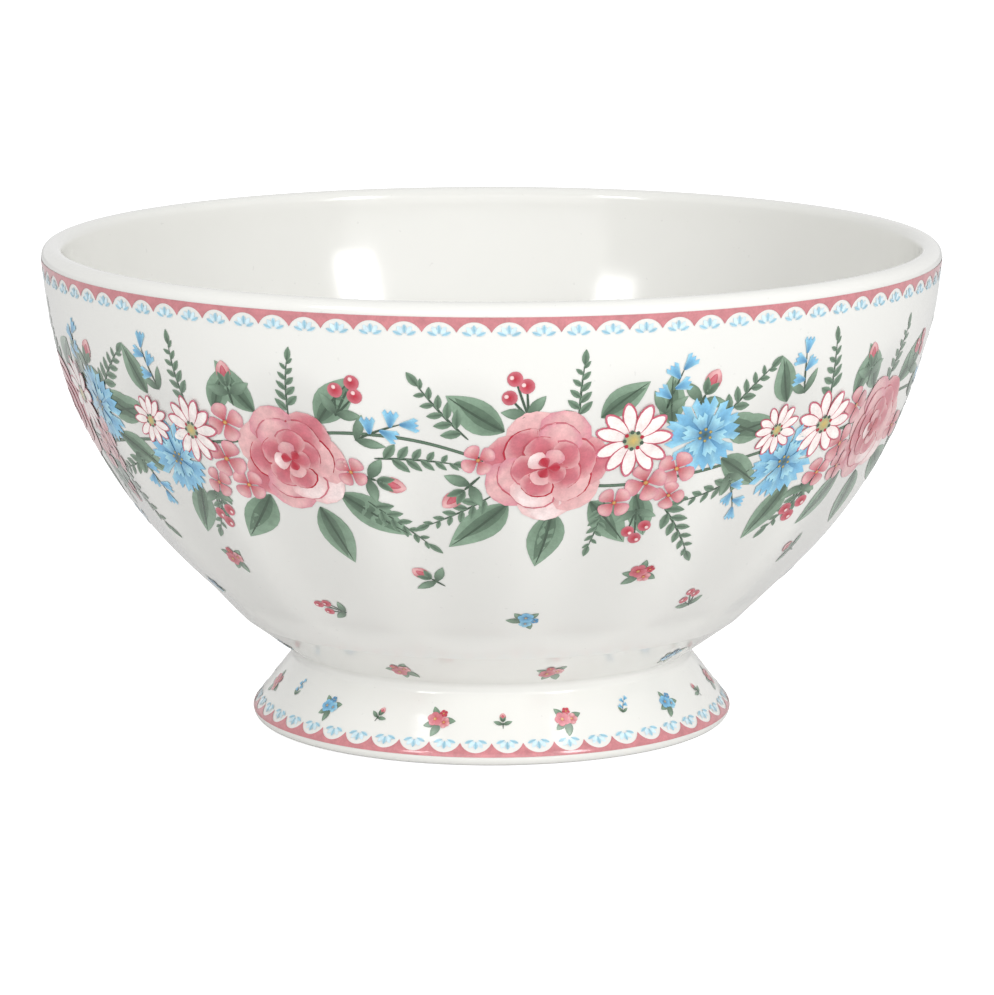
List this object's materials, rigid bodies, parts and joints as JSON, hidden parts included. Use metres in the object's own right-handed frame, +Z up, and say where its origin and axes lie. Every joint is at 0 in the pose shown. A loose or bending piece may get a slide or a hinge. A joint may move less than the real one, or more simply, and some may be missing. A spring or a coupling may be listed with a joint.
{
  "type": "footed breakfast bowl",
  "caption": "Round panelled bowl on a flared foot ring, glazed white, with scalloped enamel borders at the rim and foot, for serving drinks and food.",
  "frame": {"origin": "centre of the foot ring, on the surface that the bowl stands on", "axes": "+Z up along the axis of the bowl, -Y towards the front of the bowl"},
  "size_m": [0.1502, 0.1502, 0.0808],
  "materials": {
    "biscuit": "fired white clay body, bare and matt where it stands on the table",
    "slip_clay": "fired slip, unglazed inside the joint",
    "white_glaze": "glossy warm white glaze",
    "rose_enamel": "fired rose enamel, glossy",
    "sky_enamel": "fired sky blue enamel, glossy"
  },
  "bodies": {
    "root": {"cup": "biscuit", "foot_ring": "biscuit", "luting_slip": "slip_clay", "inner_glaze": "white_glaze", "outer_glaze": "white_glaze", "base_glaze": "white_glaze", "rim_band": "rose_enamel", "foot_band": "rose_enamel", "rim_fans": "sky_enamel", "foot_fans": "sky_enamel"}
  },
  "joints": []
}
